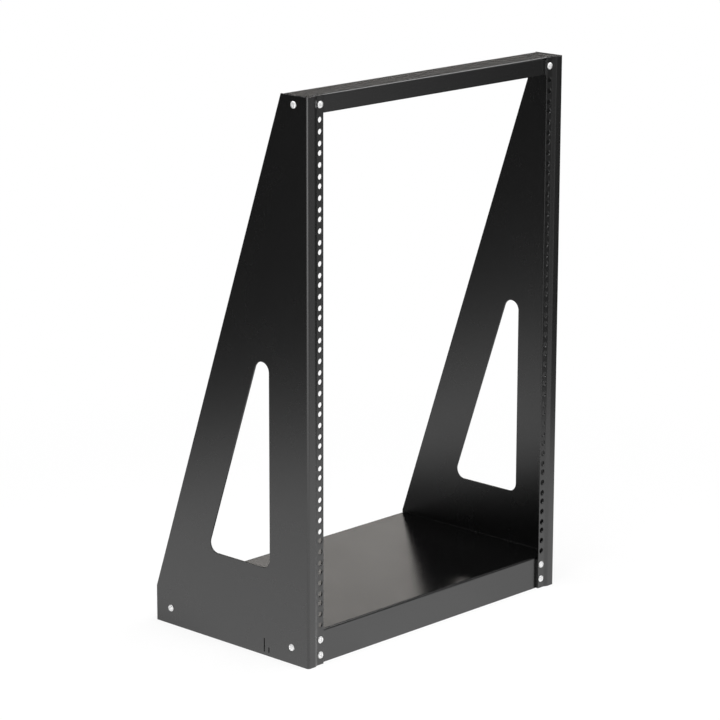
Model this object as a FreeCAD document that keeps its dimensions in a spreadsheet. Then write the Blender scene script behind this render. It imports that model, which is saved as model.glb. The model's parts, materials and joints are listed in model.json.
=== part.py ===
import FreeCAD, Part
import Sketcher
import os
import re

# A two post open frame rack, 16 rack units high, of bent steel sheet, in millimetres.
# X runs across the rack, Y from its front to its back and Z up. The origin is on the floor,
# below the middle of the rack. Two side panels are bent round at the front into the posts
# with the rail holes. A beam joins their tops and a tray joins their feet.

SIZES = {
    # the rail holes
    "unit_count": 16,
    "unit_height": 44.45,
    "hole_pitch": 15.875,
    "first_hole": 6.35,
    "rail_hole_diameter": 7.9,
    "hole_spacing": 465.1,
    # the sheet
    "sheet_thickness": 2,
    "bend_radius": 1.2,
    # the post: its flange with the holes, the slanted step and the face beside them
    "inner_edge_margin": 6.05,
    "step_margin": 6.35,
    "step_run": 5.65,
    "step_depth": 2.44,
    "face_width": 13.85,
    # the side panel's outline
    "rack_depth": 303,
    "top_depth": 49.8,
    "heel_rise": 3.5,
    # the three sided window in the side panel
    "window_front_margin": 74.2,
    "window_back_margin": 75.3,
    "window_bottom": 126.6,
    "window_corner_radius": 13.6,
    # the tray and the beam, with the gaps between them and the rack units
    "tray_height": 47.8,
    "tray_gap": 2.7,
    "beam_height": 25.2,
    "beam_gap": 1.1,
    "web_setback": 2.3,
    "corner_relief": 1,
    # the screw holes
    "screw_hole_diameter": 5.5,
    "tray_low_screw": 13.8,
    "tray_high_screw": 35.7,
    "tray_front_screw": 32.2,
    "tray_back_screw": 29.2,
    "beam_side_screw": 26.1,
    # the pair of slots at the foot of each side panel
    "mark_setback": 85.6,
    "mark_bottom": 5.2,
    "mark_width": 2,
    "mark_length": 19.4,
    "short_mark_length": 8,
    "mark_pitch": 9,
}

# Places worked out from the sizes, as expressions.
FRONT = "(-rack_depth / 2)"
BACK = "(rack_depth / 2)"
FLANGE_FRONT = f"({FRONT} + step_depth)"
FLANGE_BACK = f"({FLANGE_FRONT} + sheet_thickness)"
WEB_FRONT = f"({FLANGE_BACK} + web_setback)"
TOP_BACK = f"({FRONT} + top_depth)"
OUTER_BEND = "(bend_radius + sheet_thickness)"

HOLE_LINE = "(hole_spacing / 2)"
FLANGE_EDGE = f"({HOLE_LINE} - inner_edge_margin)"
STEP_FOOT = f"({HOLE_LINE} + step_margin)"
STEP_HEAD = f"({STEP_FOOT} + step_run)"
OUTER_FACE = f"({STEP_HEAD} + face_width)"
INNER_FACE = f"({OUTER_FACE} - sheet_thickness)"
STEP_MITRE = "(sheet_thickness * tan(atan(step_depth / step_run) / 2))"

RAIL_FOOT = "(tray_height + tray_gap)"
RACK_HEIGHT = f"({RAIL_FOOT} + unit_count * unit_height + beam_gap + beam_height)"
HEEL = "(tray_height + heel_rise)"
BEAM_FOOT = f"({RACK_HEIGHT} - beam_height)"

# The back edge leans forward by this much for each millimetre of height.
LEAN = f"((rack_depth - top_depth) / ({RACK_HEIGHT} - {HEEL}))"
WINDOW_FRONT = f"({FRONT} + window_front_margin)"
WINDOW_OFFSET = f"(window_back_margin * sqrt(1 + {LEAN} * {LEAN}))"
WINDOW_BACK = f"({BACK} - {LEAN} * (window_bottom - {HEEL}) - {WINDOW_OFFSET})"
WINDOW_APEX = f"(window_bottom + ({WINDOW_BACK} - {WINDOW_FRONT}) / {LEAN})"

# An edge this near to a place passes through it.
TOUCHING = 1e-4

doc = FreeCAD.newDocument("Rack")
sheet = doc.addObject("Spreadsheet::Sheet", "Sizes")
for row, (alias, number) in enumerate(SIZES.items(), start=1):
    sheet.set(f"A{row}", alias)
    sheet.set(f"B{row}", str(number))
    sheet.setAlias(f"B{row}", alias)
doc.recompute()


def cells(expression):
    """The expression with each size named as its cell in the sheet."""
    def cell(word):
        return "Sizes." + word[0] if word[0] in SIZES else word[0]
    return re.sub(r"[a-z_]+", cell, expression)


def value(expression):
    """What the expression comes to with the sheet's numbers."""
    return float(sheet.evalExpression(cells(expression)))


def origin_feature(body, role):
    """The plane or axis of that role in the body's own origin."""
    return next(item for item in body.Origin.OriginFeatures if item.Role == role)


def new_sketch(body, name, plane, offset=None):
    """A sketch on one of the body's origin planes, or moved along the plane's normal."""
    sketch = body.newObject("Sketcher::SketchObject", name)
    sketch.AttachmentSupport = (origin_feature(body, plane), [""])
    sketch.MapMode = "FlatFace"
    if offset:
        sketch.setExpression("AttachmentOffset.Base.z", cells(offset))
    return sketch


def bind(sketch, kind, *place, expression):
    """A dimension of the sketch that follows the expression."""
    index = sketch.addConstraint(Sketcher.Constraint(kind, *place, value(expression)))
    sketch.setExpression(f"Constraints[{index}]", cells(expression))


def outline(sketch, corners):
    """Straight sides through the corners, each placed from the sketch's origin."""
    points = [FreeCAD.Vector(value(across), value(up), 0) for across, up in corners]
    following = points[1:] + points[:1]
    lines = [sketch.addGeometry(Part.LineSegment(*ends)) for ends in zip(points, following)]
    for line, after in zip(lines, lines[1:] + lines[:1]):
        sketch.addConstraint(Sketcher.Constraint("Coincident", line, 2, after, 1))
    for line, (across, up) in zip(lines, corners):
        bind(sketch, "DistanceX", -1, 1, line, 1, expression=across)
        bind(sketch, "DistanceY", -1, 1, line, 1, expression=up)


def circle(sketch, across, up, diameter):
    """A circle placed from the sketch's origin."""
    centre = FreeCAD.Vector(value(across), value(up), 0)
    up_axis = FreeCAD.Vector(0, 0, 1)
    ring = sketch.addGeometry(Part.Circle(centre, up_axis, value(diameter) / 2))
    bind(sketch, "DistanceX", -1, 1, ring, 3, expression=across)
    bind(sketch, "DistanceY", -1, 1, ring, 3, expression=up)
    bind(sketch, "Diameter", ring, expression=diameter)


def pad(body, sketch, length, side="One side"):
    """The sketch's outline raised along its normal."""
    feature = body.newObject("PartDesign::Pad", sketch.Name + "_pad")
    feature.Profile = sketch
    feature.SideType = side
    feature.setExpression("Length", cells(length))
    sketch.recompute()
    feature.recompute()


def cut(body, sketch, length=None):
    """The sketch's outline cut out to both sides of its plane, right through or to a length."""
    feature = body.newObject("PartDesign::Pocket", sketch.Name + "_cut")
    feature.Profile = sketch
    feature.SideType = "Symmetric"
    if length:
        feature.setExpression("Length", cells(length))
    else:
        feature.Type = "ThroughAll"
    sketch.recompute()
    feature.recompute()
    return feature


def edge_at(shape, place):
    """The name of the shape's edge that passes through the place."""
    point = Part.Vertex(*[value(coordinate) for coordinate in place])
    distances = [edge.distToShape(point)[0] for edge in shape.Edges]
    nearest = min(distances)
    if nearest > TOUCHING:
        raise RuntimeError(f"no edge passes through {place}")
    return f"Edge{distances.index(nearest) + 1}"


def round_edges(body, name, radius, places):
    """The edges that pass through these places, rounded."""
    base = body.Tip
    feature = body.newObject("PartDesign::Fillet", name)
    feature.Base = (base, [edge_at(base.Shape, place) for place in places])
    feature.setExpression("Radius", cells(radius))
    feature.recompute()


def side_panel():
    """The right side panel: a web whose front edge is bent into the post."""
    body = doc.addObject("PartDesign::Body", "right_side_panel")
    plan = new_sketch(body, "panel_plan", "XY_Plane")
    outline(plan, [
        (OUTER_FACE, BACK),
        (OUTER_FACE, FRONT),
        (STEP_HEAD, FRONT),
        (STEP_FOOT, FLANGE_FRONT),
        (FLANGE_EDGE, FLANGE_FRONT),
        (FLANGE_EDGE, FLANGE_BACK),
        (f"{STEP_FOOT} + {STEP_MITRE}", FLANGE_BACK),
        (f"{STEP_HEAD} + {STEP_MITRE}", f"{FRONT} + sheet_thickness"),
        (INNER_FACE, f"{FRONT} + sheet_thickness"),
        (INNER_FACE, BACK),
    ])
    pad(body, plan, RACK_HEIGHT)
    middle = f"{RACK_HEIGHT} / 2"
    round_edges(body, "panel_outer_bends", OUTER_BEND, [
        (OUTER_FACE, FRONT, middle),
        (STEP_HEAD, FRONT, middle),
        (f"{STEP_FOOT} + {STEP_MITRE}", FLANGE_BACK, middle),
    ])
    round_edges(body, "panel_inner_bends", "bend_radius", [
        (INNER_FACE, f"{FRONT} + sheet_thickness", middle),
        (f"{STEP_HEAD} + {STEP_MITRE}", f"{FRONT} + sheet_thickness", middle),
        (STEP_FOOT, FLANGE_FRONT, middle),
    ])

    lean = new_sketch(body, "panel_lean", "YZ_Plane")
    outline(lean, [
        (BACK, HEEL),
        (f"2 * {BACK}", HEEL),
        (f"2 * {BACK}", f"2 * {RACK_HEIGHT}"),
        (TOP_BACK, f"2 * {RACK_HEIGHT}"),
        (TOP_BACK, RACK_HEIGHT),
    ])
    cut(body, lean)

    window = new_sketch(body, "panel_window", "YZ_Plane")
    corners = [
        (WINDOW_FRONT, "window_bottom"),
        (WINDOW_BACK, "window_bottom"),
        (WINDOW_FRONT, WINDOW_APEX),
    ]
    outline(window, corners)
    cut(body, window)
    round_edges(body, "panel_window_corners", "window_corner_radius",
                [(f"{OUTER_FACE} - sheet_thickness / 2", *corner) for corner in corners])

    unit = new_sketch(body, "panel_unit_holes", "XZ_Plane")
    for index in range(3):
        up = f"{RAIL_FOOT} + first_hole + {index} * hole_pitch"
        circle(unit, HOLE_LINE, up, "rail_hole_diameter")
    unit_holes = cut(body, unit)
    pattern = body.newObject("PartDesign::LinearPattern", "panel_rail_holes")
    pattern.Originals = [unit_holes]
    pattern.Direction = (origin_feature(body, "Z_Axis"), [""])
    pattern.Mode = "Spacing"
    pattern.setExpression("Offset", cells("unit_height"))
    pattern.setExpression("Occurrences", cells("unit_count"))
    body.Tip = pattern
    pattern.recompute()

    flange_screws = new_sketch(body, "panel_flange_screws", "XZ_Plane")
    for up in TRAY_WEB_SCREWS + BEAM_WEB_SCREWS:
        circle(flange_screws, HOLE_LINE, up, "screw_hole_diameter")
    cut(body, flange_screws)
    side_screws = new_sketch(body, "panel_side_screws", "YZ_Plane")
    for across, up in TRAY_SIDE_SCREWS + BEAM_SIDE_SCREWS:
        circle(side_screws, across, up, "screw_hole_diameter")
    cut(body, side_screws)

    mark = new_sketch(body, "panel_mark", "YZ_Plane")
    for shift, length in (("0", "mark_length"), ("mark_pitch", "short_mark_length")):
        far = f"{FRONT} + mark_setback - {shift} + mark_width / 2"
        near = f"{FRONT} + mark_setback - {shift} - mark_width / 2"
        top = f"mark_bottom + {length}"
        outline(mark, [(near, "mark_bottom"), (far, "mark_bottom"), (far, top), (near, top)])
    cut(body, mark)
    return body


def cross_piece(name, foot, head, back, web_screws, side_screws):
    """A plate between the side panels with its four edges bent down.

    The front web runs straight across behind the posts' flanges. Beside it the plate and its side
    bends reach on into the posts, and the side flanges return inwards below them as tabs that lie
    flat between the web and the posts' flanges.
    """
    body = doc.addObject("PartDesign::Body", name)
    under = f"{head} - sheet_thickness"
    tab_head = f"({head} - {OUTER_BEND} - corner_relief)"
    plate_front = f"({WEB_FRONT} + {OUTER_BEND})"
    plate_back = f"({back} - {OUTER_BEND})"
    inside = f"({INNER_FACE} - sheet_thickness)"

    plate = new_sketch(body, name + "_plate", "XZ_Plane", offset=f"-{plate_back}")
    outline(plate, [
        (f"-{INNER_FACE}", foot),
        (f"-{INNER_FACE}", head),
        (INNER_FACE, head),
        (INNER_FACE, foot),
        (inside, foot),
        (inside, under),
        (f"-{inside}", under),
        (f"-{inside}", foot),
    ])
    pad(body, plate, f"{plate_back} - {plate_front}")

    tabs = new_sketch(body, name + "_tabs", "XY_Plane", offset=foot)
    tab_back = f"({FLANGE_BACK} + sheet_thickness)"
    for side in ("", "-"):
        outline(tabs, [
            (f"{side}{INNER_FACE}", plate_front),
            (f"{side}{INNER_FACE}", FLANGE_BACK),
            (f"{side}{FLANGE_EDGE}", FLANGE_BACK),
            (f"{side}{FLANGE_EDGE}", tab_back),
            (f"{side}{inside}", tab_back),
            (f"{side}{inside}", plate_front),
        ])
    pad(body, tabs, f"{tab_head} - {foot}")
    tab_middle = f"({foot} + {tab_head}) / 2"
    round_edges(body, name + "_tab_outer_bends", OUTER_BEND, [
        (INNER_FACE, FLANGE_BACK, tab_middle),
        (f"-{INNER_FACE}", FLANGE_BACK, tab_middle),
    ])
    round_edges(body, name + "_tab_inner_bends", "bend_radius", [
        (inside, tab_back, tab_middle),
        (f"-{inside}", tab_back, tab_middle),
    ])

    corners = new_sketch(body, name + "_corners", "XZ_Plane", offset=f"-{plate_front}")
    for side in ("", "-"):
        outline(corners, [
            (f"{side}{STEP_HEAD}", under),
            (f"{side}{STEP_HEAD}", head),
            (f"{side}{INNER_FACE}", head),
            (f"{side}{INNER_FACE}", tab_head),
            (f"{side}{inside}", tab_head),
            (f"{side}{inside}", under),
        ])
    pad(body, corners, f"{plate_front} - ({FRONT} + {OUTER_BEND})")

    for label, end, turn, half_width in (
        ("_front_web", WEB_FRONT, "", f"({STEP_HEAD} - corner_relief)"),
        ("_back_web", back, "-", f"({INNER_FACE} - {OUTER_BEND})"),
    ):
        web = new_sketch(body, name + label, "YZ_Plane")
        outline(web, [
            (end, foot),
            (end, head),
            (f"{end} + {turn}{OUTER_BEND}", head),
            (f"{end} + {turn}{OUTER_BEND}", under),
            (f"{end} + {turn}sheet_thickness", under),
            (f"{end} + {turn}sheet_thickness", foot),
        ])
        pad(body, web, f"2 * {half_width}", side="Symmetric")

    plate_middle = f"({plate_front} + {plate_back}) / 2"
    round_edges(body, name + "_outer_bends", OUTER_BEND, [
        ("0", WEB_FRONT, head),
        ("0", back, head),
        (INNER_FACE, plate_middle, head),
        (f"-{INNER_FACE}", plate_middle, head),
    ])
    round_edges(body, name + "_inner_bends", "bend_radius", [
        ("0", f"{WEB_FRONT} + sheet_thickness", under),
        ("0", f"{back} - sheet_thickness", under),
        (inside, plate_middle, under),
        (f"-{inside}", plate_middle, under),
    ])

    web_holes = new_sketch(body, name + "_web_holes", "XZ_Plane", offset=f"-{FLANGE_BACK}")
    for side in ("", "-"):
        for up in web_screws:
            circle(web_holes, f"{side}{HOLE_LINE}", up, "screw_hole_diameter")
    cut(body, web_holes, "6 * sheet_thickness")
    side_holes = new_sketch(body, name + "_side_holes", "YZ_Plane")
    for across, up in side_screws:
        circle(side_holes, across, up, "screw_hole_diameter")
    cut(body, side_holes)
    return body


TRAY_WEB_SCREWS = ["tray_low_screw", "tray_high_screw"]
BEAM_WEB_SCREWS = [f"{RACK_HEIGHT} - beam_height / 2"]
TRAY_SIDE_SCREWS = [
    (f"{FRONT} + tray_front_screw", "tray_height / 2"),
    (f"{BACK} - tray_back_screw", "tray_height / 2"),
]
BEAM_SIDE_SCREWS = [(f"{FRONT} + beam_side_screw", BEAM_WEB_SCREWS[0])]

right_panel = side_panel()
left_panel = doc.addObject("Part::Mirroring", "left_side_panel")
left_panel.Source = right_panel
left_panel.Normal = FreeCAD.Vector(1, 0, 0)
beam = cross_piece("top_beam", BEAM_FOOT, RACK_HEIGHT, TOP_BACK,
                   BEAM_WEB_SCREWS, BEAM_SIDE_SCREWS)
tray = cross_piece("base_tray", "0", "tray_height", BACK,
                   TRAY_WEB_SCREWS, TRAY_SIDE_SCREWS)
doc.recompute()

for item in doc.Objects:
    if "Invalid" in item.State or "Error" in item.State:
        raise RuntimeError(f"{item.Label} could not be built: {item.State}")

os.makedirs("parts", exist_ok=True)
for piece in (left_panel, right_panel, beam, tray):
    if piece.Shape.isNull() or not piece.Shape.isValid():
        raise RuntimeError(f"{piece.Label} has no valid shape")
    print(piece.Label, len(piece.Shape.Solids), round(piece.Shape.Volume), piece.Shape.BoundBox)
    piece.Shape.exportStep(f"parts/{piece.Label}.step")
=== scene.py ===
"""Looks of a short two post open frame rack: satin black powder coat, pale screws, a white studio."""

import json
import math

import bmesh
import bpy
import numpy as np
from mathutils import Euler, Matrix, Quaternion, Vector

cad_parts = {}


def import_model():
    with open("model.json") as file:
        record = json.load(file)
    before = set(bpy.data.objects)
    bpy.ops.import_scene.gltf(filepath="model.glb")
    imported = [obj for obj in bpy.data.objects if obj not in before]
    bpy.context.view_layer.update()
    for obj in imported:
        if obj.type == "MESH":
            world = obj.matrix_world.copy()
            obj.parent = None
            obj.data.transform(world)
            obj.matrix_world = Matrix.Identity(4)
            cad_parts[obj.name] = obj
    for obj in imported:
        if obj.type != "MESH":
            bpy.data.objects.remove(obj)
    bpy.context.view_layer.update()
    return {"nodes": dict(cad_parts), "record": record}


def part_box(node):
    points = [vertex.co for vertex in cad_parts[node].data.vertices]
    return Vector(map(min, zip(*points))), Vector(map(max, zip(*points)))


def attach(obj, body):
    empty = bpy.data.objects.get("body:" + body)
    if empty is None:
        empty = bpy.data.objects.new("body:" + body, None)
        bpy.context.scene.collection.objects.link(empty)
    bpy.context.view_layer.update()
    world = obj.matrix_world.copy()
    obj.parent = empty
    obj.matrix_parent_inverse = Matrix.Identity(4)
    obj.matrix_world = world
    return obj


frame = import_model()

MM = 0.001

# Camera, at the photograph's angle

CAMERA_PLACE = (-3.1070, -2.9559, 1.4453)
CAMERA_AZIMUTH = -46.4389
CAMERA_ELEVATION = 14.1752
CAMERA_ROLL = 0.1510
LENS = 155.0
SENSOR = 36.0

# Powder coat

COAT_BLACK = (0.0012, 0.0012, 0.001236, 1)
COAT_GREY = (0.0030, 0.0030, 0.00306, 1)
PANEL_ROUGHNESS = 0.27
CROSS_PIECE_ROUGHNESS = 0.24
COAT_GLOSS = 1.0
EDGE_ROUNDING = 1.0 * MM
EDGE_SAMPLES = 6
PEEL_SIZE = 1.8 * MM
PEEL_HEIGHT = 0.02 * MM
GRIT_SIZE = 0.35 * MM
GRIT_HEIGHT = 0.004 * MM
GRIT_RANGE = (0.35, 0.75)
SHEET_WAVE = 160 * MM
SHEET_WAVE_HEIGHT = 0.03 * MM
GLOSS_CLOUD = 60 * MM
GLOSS_CHANGE = (-0.004, 0.008)
CLOUD_RANGE = (0.3, 0.7)

# Plating of the screws and nuts

PLATING_GREY = (0.90, 0.90, 0.90, 1)
PLATING_WHITE = (0.97, 0.97, 0.97, 1)
PLATING_METAL = 0.45
PLATING_ROUGHNESS = (0.30, 0.40)
PLATING_GRAIN = 0.4 * MM
PLATING_GRAIN_HEIGHT = 0.003 * MM

# Screws: the front ones hold a post's flange, the tab behind it and the web, set back from the flange

HEAD_RADIUS = 4.9 * MM
HEAD_HEIGHT = 2.1 * MM
HEAD_SQUARENESS = 2.5
RECESS_REACH = 2.2 * MM
RECESS_WELL = 0.9 * MM
RECESS_HALF_WIDTH = 0.5 * MM
RECESS_DEPTH = 0.8 * MM
RECESS_WALL = 0.12 * MM
THREAD_RADIUS = 2.5 * MM
THREAD_PITCH = 0.8 * MM
THREAD_DEPTH = 0.42 * MM
SHEET = 2.0 * MM
WEB_SETBACK = 2.3 * MM
FRONT_GRIP = 2 * SHEET + WEB_SETBACK
SIDE_GRIP = 2 * SHEET
SCREW_POINT = 2.2 * MM
DOME_ROWS = 34
SHANK_ROWS = 74
SCREW_STEPS = 64
SAME_POINT = 1e-7
SMOOTH_ANGLE = 35

# Nuts

NUT_HEIGHT = 4.0 * MM
NUT_FLATS = 8.0 * MM
NUT_CROWN = 0.97
NUT_BEVEL = 30
NUT_MOUTH = 0.35 * MM
BORE_PLAY = 0.02 * MM
NUT_STEPS = 72

# Places of the screws, from the corners of the sheets that they hold

FOOT_LOW_SCREW = 13.8 * MM
FOOT_HIGH_SCREW = 35.7 * MM
FOOT_FRONT_SCREW = 32.2 * MM
FOOT_BACK_SCREW = 29.2 * MM
TOP_SIDE_SCREW = 26.1 * MM

# The floor as the camera sees it, with the share of shadow in its white

FLOOR_REACH = 14.0
FLOOR_COLOUR = (0.86, 0.86, 0.86, 1)
FLOOR_MIDDLE = (0, 0, 0)
SHADOW_SHARE = 0.18
SHADOW_FULL = 0.3
SHADOW_REACH = 1.3

# The floor as the coat mirrors it: levels by the angle from the rack's right side at 0 to its back at 90

POOL_MIDDLE = (-0.3, -0.3, 0)
POOL_EDGE = 0.75
POOL_END = 1.75
POOL = ((-180, 1.0), (-125, 1.12), (-60, 1.08), (-35, 0.96), (60, 0.92), (180, 1.0))
FAR_FLOOR = (
    (-180, 0.65), (-160, 1.2), (-115, 1.3), (-100, 0.2), (-80, 0.2), (-68, 0.5), (-47, 0.5),
    (-40, 0.02), (-20, 0.02), (0, 0.33), (45, 0.25), (90, 0.05), (150, 0.09), (180, 0.65),
)
SHADE_MIDDLE = (0.05, 0.22, 0)
SHADE_LEVEL = 0.1
SHADE_EDGE = 0.1
SHADE_END = 0.4

# The room as the coat mirrors it, by the same angle; a height is the sine of the angle above the floor

ROOM_COLOUR = (0.8, 0.8, 0.8, 1)
LOW_SKY = (
    (-180, 0.05), (-150, 0.10), (-120, 0.25), (-90, 0.47), (-65, 0.70), (-48, 0.60),
    (-40, 0.25), (0, 0.2), (15, 0), (180, 0.05),
)
LOW_SKY_FADE = (0.40, 0.90)
CEILING_LEVEL = 0.7
CEILING_HEIGHT = (0.60, 0.85)
EVEN_LIGHT = 0.25

# The lamp that the coat mirrors low at the back right: it fades between two angles off its middle

BACK_LAMP_LEVEL = 4.0
BACK_LAMP_COLOUR = (1, 0.96, 0.915, 1)
BACK_LAMP_ANGLE = 28
BACK_LAMP_FULL = 17
BACK_LAMP_END = 29
BACK_LAMP_SLANT = 0.96
BACK_LAMP_RISE = (0.25, 0.30)
BACK_LAMP_FALL = (0.295, 0.345)

# Lamps: where each stands, the point that it faces, its width and height, and its power in watts

OVERHEAD_LIGHT = ((-0.3, -0.5, 2.4), (0, 0, 0.3), 2.2, 1.8, 76)
LEFT_LIGHT = ((-2.2, -1.0, 0.45), (0, 0, 0.45), 2.4, 0.9, 9)
RIGHT_EDGE_LIGHT = ((1.15, -0.45, 1.9), (0, -0.15, 0.79), 0.6, 0.7, 6)
BACK_EDGE_LIGHT = ((-0.56, 1.13, 1.9), (-0.26, 0, 0.79), 0.7, 0.6, 6)


def new_material(name):
    """A material with a Principled BSDF; returns it with its node tree and that shader."""
    material = bpy.data.materials.new(name)
    material.use_nodes = True
    tree = material.node_tree
    return material, tree, tree.nodes["Principled BSDF"]


def add(tree, kind, **settings):
    """Adds a node and sets its properties."""
    node = tree.nodes.new(kind)
    for key, value in settings.items():
        setattr(node, key, value)
    return node


def feed(tree, socket, value):
    """Sets a socket to a number, or links another socket to it."""
    if isinstance(value, (int, float)):
        socket.default_value = value
    else:
        tree.links.new(value, socket)


def noise(tree, place, size, detail=2.0):
    """Noise with bumps of about that size, in metres, on Object coordinates."""
    node = add(tree, "ShaderNodeTexNoise")
    node.inputs["Scale"].default_value = 1.0 / size
    node.inputs["Detail"].default_value = detail
    tree.links.new(place, node.inputs["Vector"])
    return node.outputs["Fac"]


def ramp(tree, value, low, high, to_low, to_high, smooth=False):
    """Maps a value from one range to another, clamped."""
    node = add(tree, "ShaderNodeMapRange")
    node.interpolation_type = "SMOOTHSTEP" if smooth else "LINEAR"
    node.inputs["From Min"].default_value = low
    node.inputs["From Max"].default_value = high
    node.inputs["To Min"].default_value = to_low
    node.inputs["To Max"].default_value = to_high
    tree.links.new(value, node.inputs["Value"])
    return node.outputs["Result"]


def bump(tree, height, depth, normal=None):
    """A bump of that depth, in metres, laid on another normal."""
    node = add(tree, "ShaderNodeBump")
    node.inputs["Strength"].default_value = 1.0
    node.inputs["Distance"].default_value = depth
    tree.links.new(height, node.inputs["Height"])
    if normal is not None:
        tree.links.new(normal, node.inputs["Normal"])
    return node.outputs["Normal"]


def mixed_colour(tree, share, first, second):
    """The first colour where the share is 0, the second where it is 1."""
    node = add(tree, "ShaderNodeMix", data_type="RGBA")
    tree.links.new(share, node.inputs[0])
    node.inputs[6].default_value = first
    node.inputs[7].default_value = second
    return node.outputs[2]


def powder_coat(name, roughness):
    """Satin black powder coat on bent sheet.

    It has rounded edges, orange peel, fine grit, a slight wave of the sheet and small changes of gloss."""
    material, tree, shader = new_material(name)
    place = add(tree, "ShaderNodeTexCoord").outputs["Object"]
    peel = noise(tree, place, PEEL_SIZE)
    grit = noise(tree, place, GRIT_SIZE, detail=3.0)
    wave = noise(tree, place, SHEET_WAVE, detail=0.0)
    cloud = noise(tree, place, GLOSS_CLOUD, detail=3.0)

    colour = mixed_colour(tree, ramp(tree, grit, *GRIT_RANGE, 0, 1), COAT_BLACK, COAT_GREY)
    tree.links.new(colour, shader.inputs["Base Color"])
    smoothest, roughest = (roughness + change for change in GLOSS_CHANGE)
    gloss = ramp(tree, cloud, *CLOUD_RANGE, smoothest, roughest)
    tree.links.new(gloss, shader.inputs["Roughness"])
    shader.inputs["Specular IOR Level"].default_value = COAT_GLOSS

    edge = add(tree, "ShaderNodeBevel", samples=EDGE_SAMPLES)
    edge.inputs["Radius"].default_value = EDGE_ROUNDING
    waved = bump(tree, wave, SHEET_WAVE_HEIGHT, edge.outputs["Normal"])
    peeled = bump(tree, peel, PEEL_HEIGHT, waved)
    tree.links.new(bump(tree, grit, GRIT_HEIGHT, peeled), shader.inputs["Normal"])
    return material


def pale_plating(name):
    """Pale plated steel: a soft metal shine over a whitish skin, with a fine grain in colour and gloss."""
    material, tree, shader = new_material(name)
    place = add(tree, "ShaderNodeTexCoord").outputs["Object"]
    grain = noise(tree, place, PLATING_GRAIN, detail=3.0)
    shader.inputs["Metallic"].default_value = PLATING_METAL
    tree.links.new(mixed_colour(tree, grain, PLATING_GREY, PLATING_WHITE), shader.inputs["Base Color"])
    gloss = ramp(tree, grain, *CLOUD_RANGE, *PLATING_ROUGHNESS)
    tree.links.new(gloss, shader.inputs["Roughness"])
    tree.links.new(bump(tree, grain, PLATING_GRAIN_HEIGHT), shader.inputs["Normal"])
    return material


def wrapped_piece(name, points, material):
    """A closed mesh from a grid of points whose rows go round an axis.

    Points has rows, columns and three coordinates, and the last column joins the first. Rows that
    shrink to one point close the ends, and rows that end where they began close a ring."""
    rows, columns, _ = points.shape
    row, column = np.meshgrid(np.arange(rows - 1), np.arange(columns), indexing="ij")
    after = (column + 1) % columns
    this_row, next_row = row * columns, (row + 1) * columns
    corners = [this_row + column, this_row + after, next_row + after, next_row + column]
    quads = np.stack(corners, axis=-1).reshape(-1, 4)
    mesh = bpy.data.meshes.new(name)
    mesh.from_pydata(points.reshape(-1, 3).tolist(), [], quads.tolist())
    shell = bmesh.new()
    shell.from_mesh(mesh)
    bmesh.ops.remove_doubles(shell, verts=shell.verts, dist=SAME_POINT)
    bmesh.ops.recalc_face_normals(shell, faces=shell.faces)
    shell.to_mesh(mesh)
    shell.free()
    mesh.shade_smooth()
    mesh.set_sharp_from_angle(angle=math.radians(SMOOTH_ANGLE))
    mesh.materials.append(material)
    piece = bpy.data.objects.new(name, mesh)
    bpy.context.scene.collection.objects.link(piece)
    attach(piece, "root")
    return piece


def stood_on(points, seat, outward, turn):
    """Turns points from the fastener's own axes, where +Z leads out of the head, to the rack's axes.

    The new point is the seat, plus each of the three coordinates times its own axis."""
    outward = np.array(outward, float)
    up = np.array((0.0, 0.0, 1.0))
    side = np.cross(up, outward)
    across = math.cos(turn) * side + math.sin(turn) * up
    along = math.cos(turn) * up - math.sin(turn) * side
    return np.array(seat) + points @ np.stack([across, along, outward])


def screw_points(grip):
    """Rows down the profile of a screw that holds sheets of that total thickness, columns round it.

    The head is a dome: height and radius are powers of the cosine and sine of one angle. The cross
    recess sinks where a point is within half a slot of either arm, and its depth falls from the well
    to the arm's end. The thread cuts the shank by a saw of height over pitch plus angle over a turn,
    and fades in under the head."""
    angle = np.linspace(0, 2 * math.pi, SCREW_STEPS, endpoint=False)
    lean = np.linspace(0, math.pi / 2, DOME_ROWS)
    power = 2 / HEAD_SQUARENESS
    dome_radius = HEAD_RADIUS * np.sin(lean) ** power
    dome_height = HEAD_HEIGHT * np.cos(lean) ** power
    length = grip + NUT_HEIGHT + SCREW_POINT
    depth = np.linspace(0, length, SHANK_ROWS)
    tip = np.clip((length - depth) / THREAD_DEPTH, 0, 1)

    radius = np.concatenate([dome_radius, THREAD_RADIUS - (1 - tip) * THREAD_DEPTH, [0]])
    height = np.concatenate([dome_height, -depth, [-length]])
    r, a = np.meshgrid(radius, angle, indexing="ij")
    z = np.repeat(height[:, None], SCREW_STEPS, axis=1)

    saw = np.abs(((z / THREAD_PITCH + a / (2 * math.pi)) % 1.0) * 2 - 1)
    cut_in = np.clip(-z / THREAD_PITCH, 0, 1)
    shank = np.zeros_like(r)
    shank[DOME_ROWS:-1] = 1
    r = r - shank * cut_in * saw * THREAD_DEPTH

    x, y = r * np.cos(a), r * np.sin(a)
    across, along = np.minimum(abs(x), abs(y)), np.maximum(abs(x), abs(y))
    wall = np.clip((RECESS_HALF_WIDTH - across) / RECESS_WALL + 0.5, 0, 1)
    sunk = np.clip((RECESS_REACH - along) / (RECESS_REACH - RECESS_WELL), 0, 1)
    head = np.zeros_like(r)
    head[:DOME_ROWS] = 1
    z = z - head * wall * sunk * RECESS_DEPTH
    return np.stack([x, y, z], axis=-1)


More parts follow.
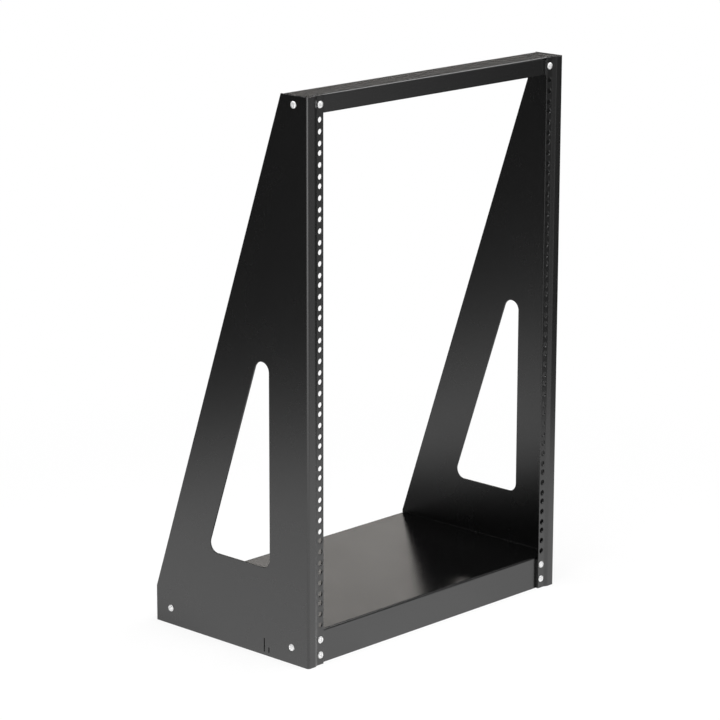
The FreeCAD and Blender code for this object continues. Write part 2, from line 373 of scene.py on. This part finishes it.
def nut_points():
    """Rows round the nut's section, columns round its axis.

    The outer radius at an angle is that of a hexagon, and the corners lose the height by which they
    reach past the crown's circle, times the tangent of the bevel. The bore is a plain circle with a
    small countersink."""
    angle = np.linspace(0, 2 * math.pi, NUT_STEPS, endpoint=False)
    sector = (angle + math.pi / 6) % (math.pi / 3) - math.pi / 6
    hexagon = NUT_FLATS / 2 / np.cos(sector)
    crown = np.full_like(angle, NUT_FLATS / 2 * NUT_CROWN)
    bevel = np.clip(hexagon - crown, 0, None) * math.tan(math.radians(NUT_BEVEL))
    bore = np.full_like(angle, THREAD_RADIUS + BORE_PLAY)
    mouth = bore + NUT_MOUTH
    low, high = np.zeros_like(angle), np.full_like(angle, NUT_HEIGHT)
    section = [
        (bore, low + NUT_MOUTH),
        (mouth, low),
        (crown, low),
        (hexagon, low + bevel),
        (hexagon, high - bevel),
        (crown, high),
        (mouth, high),
        (bore, high - NUT_MOUTH),
        (bore, low + NUT_MOUTH),
    ]
    rings = [np.stack([r * np.cos(angle), r * np.sin(angle), z], axis=-1) for r, z in section]
    return np.stack(rings)


def fastener_places():
    """Every screw's name, the point under its head, the way its head faces and what it holds."""
    mount = next(m for m in frame["record"]["mounts"] if m["name"] == "lowest_unit")
    flange = mount["pos_m"][1]
    hole_line = mount["dims"]["spacing_x_mm"] * MM / 2
    beam_low, beam_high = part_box("top_beam")
    tray_low, tray_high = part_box("base_tray")
    top_z = (beam_low.z + beam_high.z) / 2
    foot_z = (tray_low.z + tray_high.z) / 2
    places = []
    for name, way in (("left", -1), ("right", 1)):
        low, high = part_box(f"{name}_side_panel")
        outside = high.x if way > 0 else low.x
        for label, z in (
            ("top", top_z),
            ("upper_foot", FOOT_HIGH_SCREW),
            ("lower_foot", FOOT_LOW_SCREW),
        ):
            seat = (way * hole_line, flange, z)
            places.append((f"{name}_post_{label}", seat, (0, -1, 0), FRONT_GRIP))
        for label, y, z in (
            ("top", low.y + TOP_SIDE_SCREW, top_z),
            ("front_foot", low.y + FOOT_FRONT_SCREW, foot_z),
            ("back_foot", high.y - FOOT_BACK_SCREW, foot_z),
        ):
            places.append((f"{name}_side_{label}", (outside, y, z), (way, 0, 0), SIDE_GRIP))
    return places


def fasteners(plating):
    """A screw and its nut at every place, each turned by its own angle."""
    golden = math.pi * (3 - math.sqrt(5))
    screws = {grip: screw_points(grip) for grip in (FRONT_GRIP, SIDE_GRIP)}
    nut = nut_points()
    for count, (name, seat, outward, grip) in enumerate(fastener_places()):
        turn = count * golden
        wrapped_piece(f"{name}_screw", stood_on(screws[grip], seat, outward, turn), plating)
        behind = np.array(seat) - (grip + NUT_HEIGHT) * np.array(outward, float)
        wrapped_piece(f"{name}_nut", stood_on(nut, behind, outward, turn * 2), plating)


def combine(tree, operation, first, second):
    """A Math node on two values, each a socket or a number."""
    node = add(tree, "ShaderNodeMath", operation=operation)
    feed(tree, node.inputs[0], first)
    feed(tree, node.inputs[1], second)
    return node.outputs[0]


def blend(tree, share, first, second):
    """The first number or socket where the share is 0, the second where it is 1."""
    node = add(tree, "ShaderNodeMix", data_type="FLOAT")
    tree.links.new(share, node.inputs[0])
    feed(tree, node.inputs[2], first)
    feed(tree, node.inputs[3], second)
    return node.outputs[0]


def mixed_shader(tree, share, first, second):
    """The first shader where the share is 0, the second where it is 1."""
    node = add(tree, "ShaderNodeMixShader")
    for socket, value in zip(node.inputs, (share, first, second)):
        tree.links.new(value, socket)
    return node.outputs[0]


def distance(tree, place, point):
    """How far a place is from a point."""
    node = add(tree, "ShaderNodeVectorMath", operation="DISTANCE")
    tree.links.new(place, node.inputs[0])
    node.inputs[1].default_value = point
    return node.outputs["Value"]


def towards(tree, direction, degrees):
    """How far a direction points towards an angle round the rack: the dot product of the two."""
    node = add(tree, "ShaderNodeVectorMath", operation="DOT_PRODUCT")
    tree.links.new(direction, node.inputs[0])
    angle = math.radians(degrees)
    node.inputs[1].default_value = (math.cos(angle), math.sin(angle), 0)
    return node.outputs["Value"]


def around(tree, place, levels):
    """A level by the angle round the rack, straight between stops of an angle in degrees and a level."""
    parts = add(tree, "ShaderNodeSeparateXYZ")
    tree.links.new(place, parts.inputs[0])
    angle = combine(tree, "ARCTAN2", parts.outputs["Y"], parts.outputs["X"])
    table = add(tree, "ShaderNodeValToRGB")
    stops = table.color_ramp.elements
    for degrees, _ in levels[1:-1]:
        stops.new((degrees + 180) / 360)
    for stop, (_, level) in zip(stops, levels):
        stop.color = (level, level, level, 1)
    tree.links.new(ramp(tree, angle, -math.pi, math.pi, 0, 1), table.inputs[0])
    return table.outputs["Color"]


def mirrored_ray(tree, path):
    """1 for the rays that polished or clear surfaces send out, otherwise 0."""
    return combine(tree, "MAXIMUM", path.outputs["Is Glossy Ray"], path.outputs["Is Transmission Ray"])


def floor_material():
    """White floor: plain white with a faint shadow of the rack to the camera.

    What mirrors it sees a pool of light, white near its middle, which further out falls to a level
    that depends on the side. Close behind the rack it is in shade."""
    material, tree, shader = new_material("studio_floor")
    tree.nodes.remove(shader)
    place = add(tree, "ShaderNodeTexCoord").outputs["Object"]
    path = add(tree, "ShaderNodeLightPath")
    lit = add(tree, "ShaderNodeBsdfDiffuse")
    lit.inputs["Color"].default_value = FLOOR_COLOUR
    white = add(tree, "ShaderNodeEmission")
    pool = add(tree, "ShaderNodeEmission")

    from_middle = distance(tree, place, FLOOR_MIDDLE)
    shadow = ramp(tree, from_middle, SHADOW_FULL, SHADOW_REACH, SHADOW_SHARE, 0, True)
    out = ramp(tree, distance(tree, place, POOL_MIDDLE), POOL_EDGE, POOL_END, 0, 1, True)
    level = blend(tree, out, around(tree, place, POOL), around(tree, place, FAR_FLOOR))
    from_shade = distance(tree, place, SHADE_MIDDLE)
    shade = ramp(tree, from_shade, SHADE_EDGE, SHADE_END, SHADE_LEVEL, 1, True)
    tree.links.new(combine(tree, "MULTIPLY", level, shade), pool.inputs["Strength"])

    to_camera = mixed_shader(tree, shadow, white.outputs[0], lit.outputs[0])
    to_others = mixed_shader(tree, mirrored_ray(tree, path), lit.outputs[0], pool.outputs[0])
    final = mixed_shader(tree, path.outputs["Is Camera Ray"], to_others, to_camera)
    tree.links.new(final, tree.nodes["Material Output"].inputs["Surface"])
    return material


def floor():
    """One flat square under the rack."""
    mesh = bpy.data.meshes.new("floor")
    reach = FLOOR_REACH
    corners = [(-reach, -reach, 0), (reach, -reach, 0), (reach, reach, 0), (-reach, reach, 0)]
    mesh.from_pydata(corners, [], [(0, 1, 2, 3)])
    mesh.materials.append(floor_material())
    ground = bpy.data.objects.new("floor", mesh)
    bpy.context.scene.collection.objects.link(ground)


def back_lamp(tree, direction, height):
    """A soft lamp low at the back right, as a share of one.

    Across, it fades by the dot product with its middle's direction, which for a ray that rises to the
    lamp is the cosine of the angle times the slant. Its lower and its upper edge fade by height."""
    full, end = (math.cos(math.radians(v)) * BACK_LAMP_SLANT for v in (BACK_LAMP_FULL, BACK_LAMP_END))
    across = ramp(tree, towards(tree, direction, BACK_LAMP_ANGLE), end, full, 0, 1, True)
    rise = ramp(tree, height, *BACK_LAMP_RISE, 0, 1, True)
    fall = ramp(tree, height, *BACK_LAMP_FALL, 1, 0, True)
    return combine(tree, "MULTIPLY", across, combine(tree, "MULTIPLY", rise, fall))


def background(tree, strength, colour):
    """Light from all round, of a strength that is a number or a socket."""
    node = add(tree, "ShaderNodeBackground")
    feed(tree, node.inputs["Strength"], strength)
    node.inputs["Color"].default_value = colour
    return node.outputs[0]


def world():
    """White to the camera, and a low even light on everything.

    What mirrors it sees a dark room with a lit front, a ceiling and a lamp."""
    studio = bpy.data.worlds.new("studio")
    bpy.context.scene.world = studio
    studio.use_nodes = True
    tree = studio.node_tree
    path = add(tree, "ShaderNodeLightPath")
    direction = add(tree, "ShaderNodeTexCoord").outputs["Generated"]
    parts = add(tree, "ShaderNodeSeparateXYZ")
    tree.links.new(direction, parts.inputs[0])
    height = parts.outputs["Z"]

    fade = ramp(tree, height, *LOW_SKY_FADE, 1, 0, True)
    front = combine(tree, "MULTIPLY", around(tree, direction, LOW_SKY), fade)
    ceiling = ramp(tree, height, *CEILING_HEIGHT, 0, CEILING_LEVEL, True)
    walls = background(tree, combine(tree, "ADD", front, ceiling), ROOM_COLOUR)
    level = combine(tree, "MULTIPLY", back_lamp(tree, direction, height), BACK_LAMP_LEVEL)
    lamp = background(tree, level, BACK_LAMP_COLOUR)
    room = add(tree, "ShaderNodeAddShader")
    tree.links.new(walls, room.inputs[0])
    tree.links.new(lamp, room.inputs[1])

    even = background(tree, EVEN_LIGHT, ROOM_COLOUR)
    white = background(tree, 1, (1, 1, 1, 1))
    to_others = mixed_shader(tree, mirrored_ray(tree, path), even, room.outputs[0])
    final = mixed_shader(tree, path.outputs["Is Camera Ray"], to_others, white)
    tree.links.new(final, tree.nodes["World Output"].inputs["Surface"])


def soft_light(name, place, target, width, height, power):
    """A soft rectangular lamp that faces a target and doesn't show to the camera."""
    data = bpy.data.lights.new(name, "AREA")
    data.shape = "RECTANGLE"
    data.size = width
    data.size_y = height
    data.energy = power
    lamp = bpy.data.objects.new(name, data)
    lamp.location = place
    away = np.array(place, float) - np.array(target, float)
    away = away / np.linalg.norm(away)
    lamp.rotation_mode = "XYZ"
    lamp.rotation_euler = (math.acos(away[2]), 0, math.atan2(away[0], -away[1]))
    lamp.visible_camera = False
    bpy.context.scene.collection.objects.link(lamp)
    return lamp


def lights():
    """A large soft lamp overhead, which no gloss mirrors, and a low wide one to the left and front.

    Two small high ones light the top edges."""
    overhead = soft_light("overhead_light", *OVERHEAD_LIGHT)
    overhead.visible_glossy = False
    soft_light("left_light", *LEFT_LIGHT)
    soft_light("right_edge_light", *RIGHT_EDGE_LIGHT)
    soft_light("back_edge_light", *BACK_EDGE_LIGHT)


def camera():
    """The photograph's viewpoint; the three angles give the camera's axes."""
    turn, rise, roll = (math.radians(v) for v in (CAMERA_AZIMUTH, CAMERA_ELEVATION, CAMERA_ROLL))
    data = bpy.data.cameras.new("camera")
    data.lens = LENS
    data.sensor_width = SENSOR
    view = bpy.data.objects.new("camera", data)
    view.location = CAMERA_PLACE
    view.rotation_mode = "QUATERNION"
    level = Euler((math.pi / 2 - rise, 0, turn)).to_quaternion()
    view.rotation_quaternion = level @ Quaternion((0, 0, 1), roll)
    bpy.context.scene.collection.objects.link(view)
    bpy.context.scene.camera = view


camera()
floor()
world()
lights()
panel_coat = powder_coat("panel_powder_coat", PANEL_ROUGHNESS)
cross_coat = powder_coat("cross_piece_powder_coat", CROSS_PIECE_ROUGHNESS)
for node_name, node in frame["nodes"].items():
    node.data.materials.clear()
    node.data.materials.append(panel_coat if node_name.endswith("side_panel") else cross_coat)
fasteners(pale_plating("screw_plating"))
bpy.context.scene.view_settings.view_transform = "Standard"
